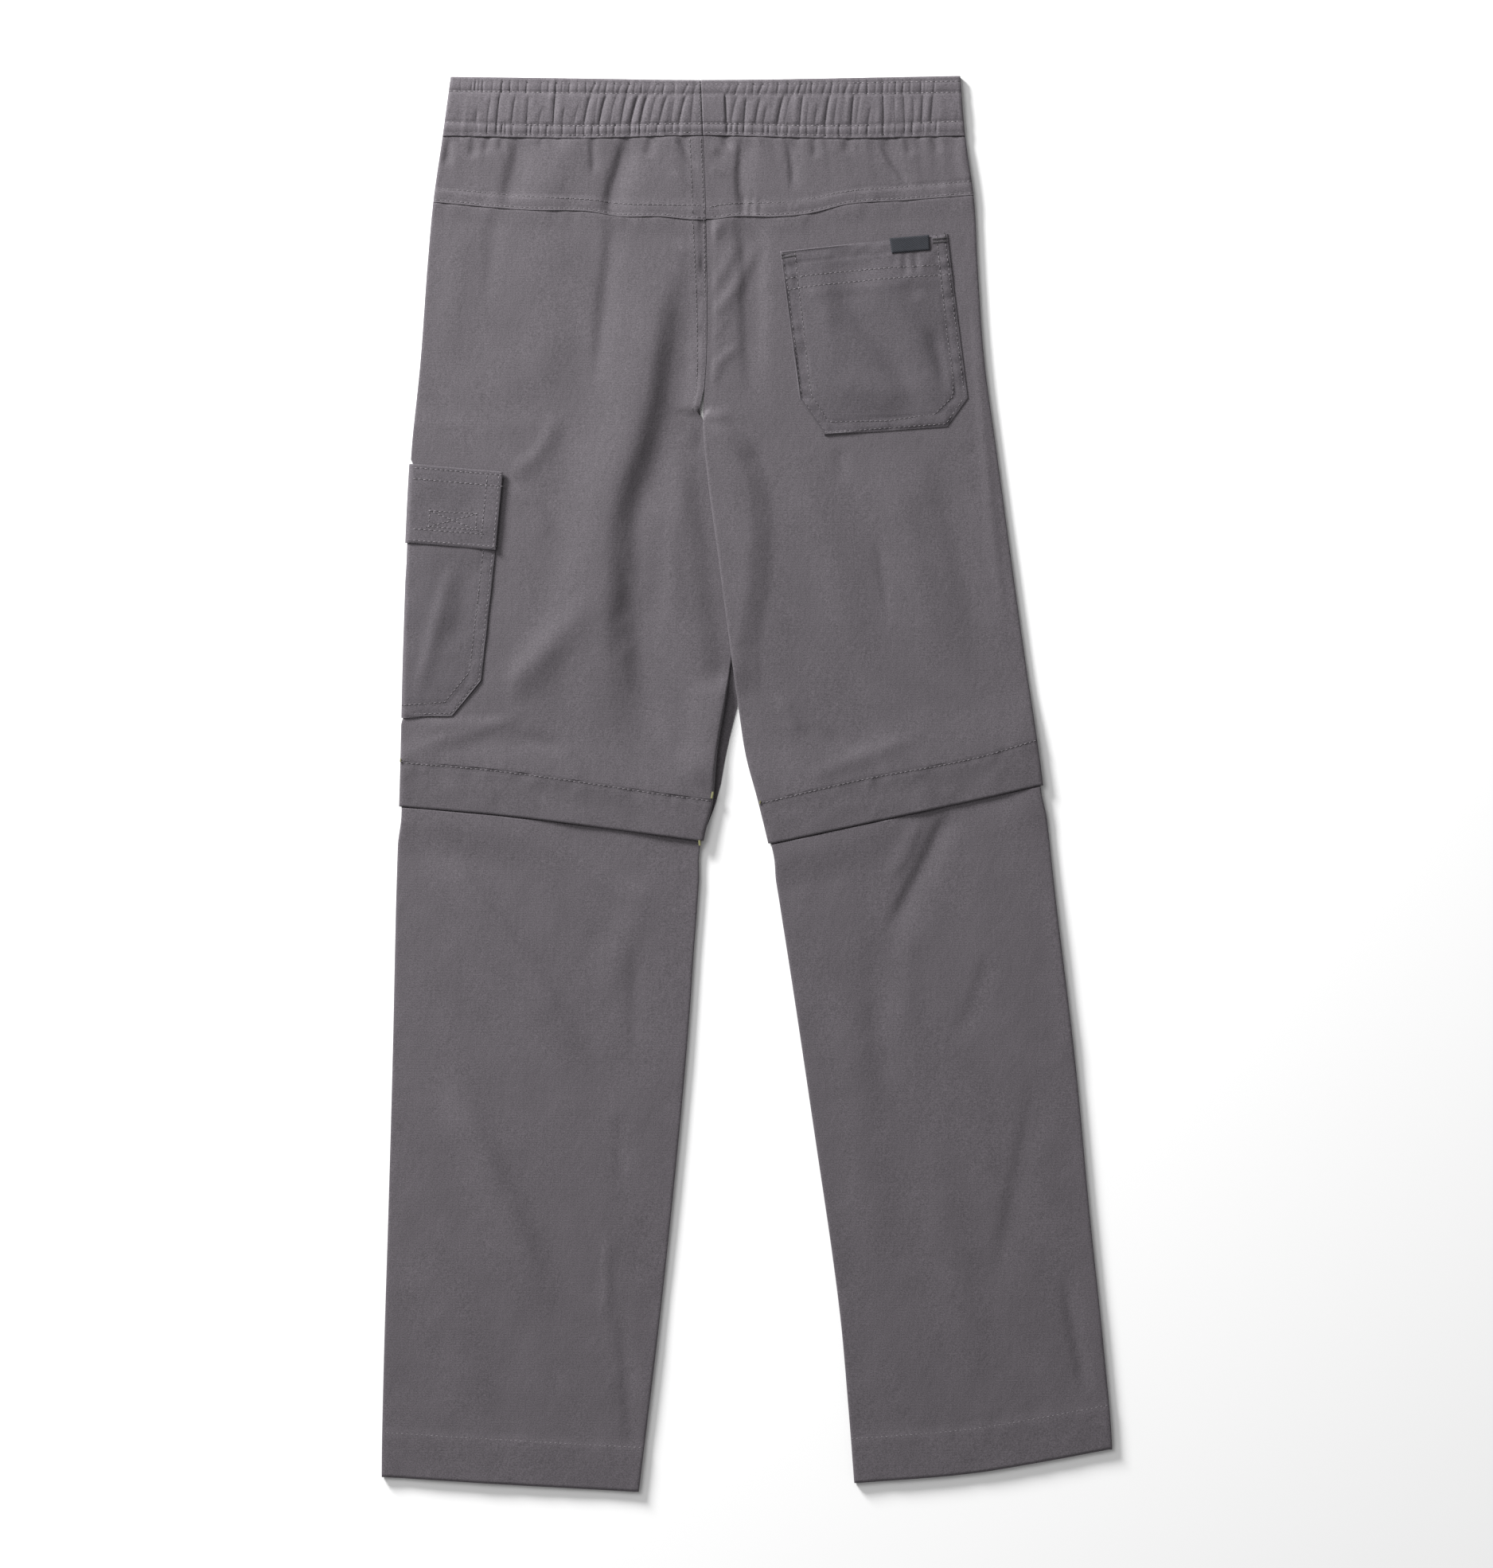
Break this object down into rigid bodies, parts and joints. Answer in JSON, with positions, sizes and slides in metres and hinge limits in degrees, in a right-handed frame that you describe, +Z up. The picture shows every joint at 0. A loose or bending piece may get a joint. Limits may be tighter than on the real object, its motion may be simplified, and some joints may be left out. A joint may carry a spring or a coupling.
{
  "type": "convertible zip-off trousers",
  "caption": "Convertible trousers laid flat, back up: gathered elastic waistband, yoke, patch and cargo pockets, storm flaps over the knee zips, hemmed legs.",
  "frame": {"origin": "centre of the footprint, on the surface that the trousers lie on", "axes": "+Y from the hems to the waist, +X to the right over the back, +Z up out of the surface"},
  "size_m": [0.4771, 0.9255, 0.0075],
  "materials": {
    "waist_cloth": "matte woven nylon, light side of the grey",
    "thigh_cloth": "matte woven nylon, mid grey",
    "pocket_cloth": "matte woven nylon, mid grey",
    "flap_cloth": "matte woven nylon, folded double",
    "lower_leg_cloth": "matte woven nylon, deeper grey",
    "label_weave": "fine dark twill, bare",
    "zip_tape": "woven zip tape",
    "slider_metal": "painted zip slider"
  },
  "bodies": {
    "root": {"waistband_back_left": "waist_cloth", "waistband_back_right": "waist_cloth", "waistband_front": "waist_cloth", "yoke_back_left": "waist_cloth", "yoke_back_right": "waist_cloth", "back_upper_left": "thigh_cloth", "back_upper_right": "thigh_cloth", "front_upper_left": "thigh_cloth", "front_upper_right": "thigh_cloth", "back_pocket": "pocket_cloth", "pocket_label": "label_weave", "cargo_pocket": "pocket_cloth", "cargo_flap": "pocket_cloth", "knee_flap_back_left": "flap_cloth", "knee_flap_back_right": "flap_cloth", "knee_flap_front_left": "flap_cloth", "knee_flap_front_right": "flap_cloth", "zip_tape_back_left": "zip_tape", "zip_tape_back_right": "zip_tape", "zip_tape_front_left": "zip_tape", "zip_tape_front_right": "zip_tape", "zip_slider_left": "slider_metal", "zip_slider_right": "slider_metal", "lower_back_left": "lower_leg_cloth", "lower_back_right": "lower_leg_cloth", "lower_front_left": "lower_leg_cloth", "lower_front_right": "lower_leg_cloth"}
  },
  "joints": []
}
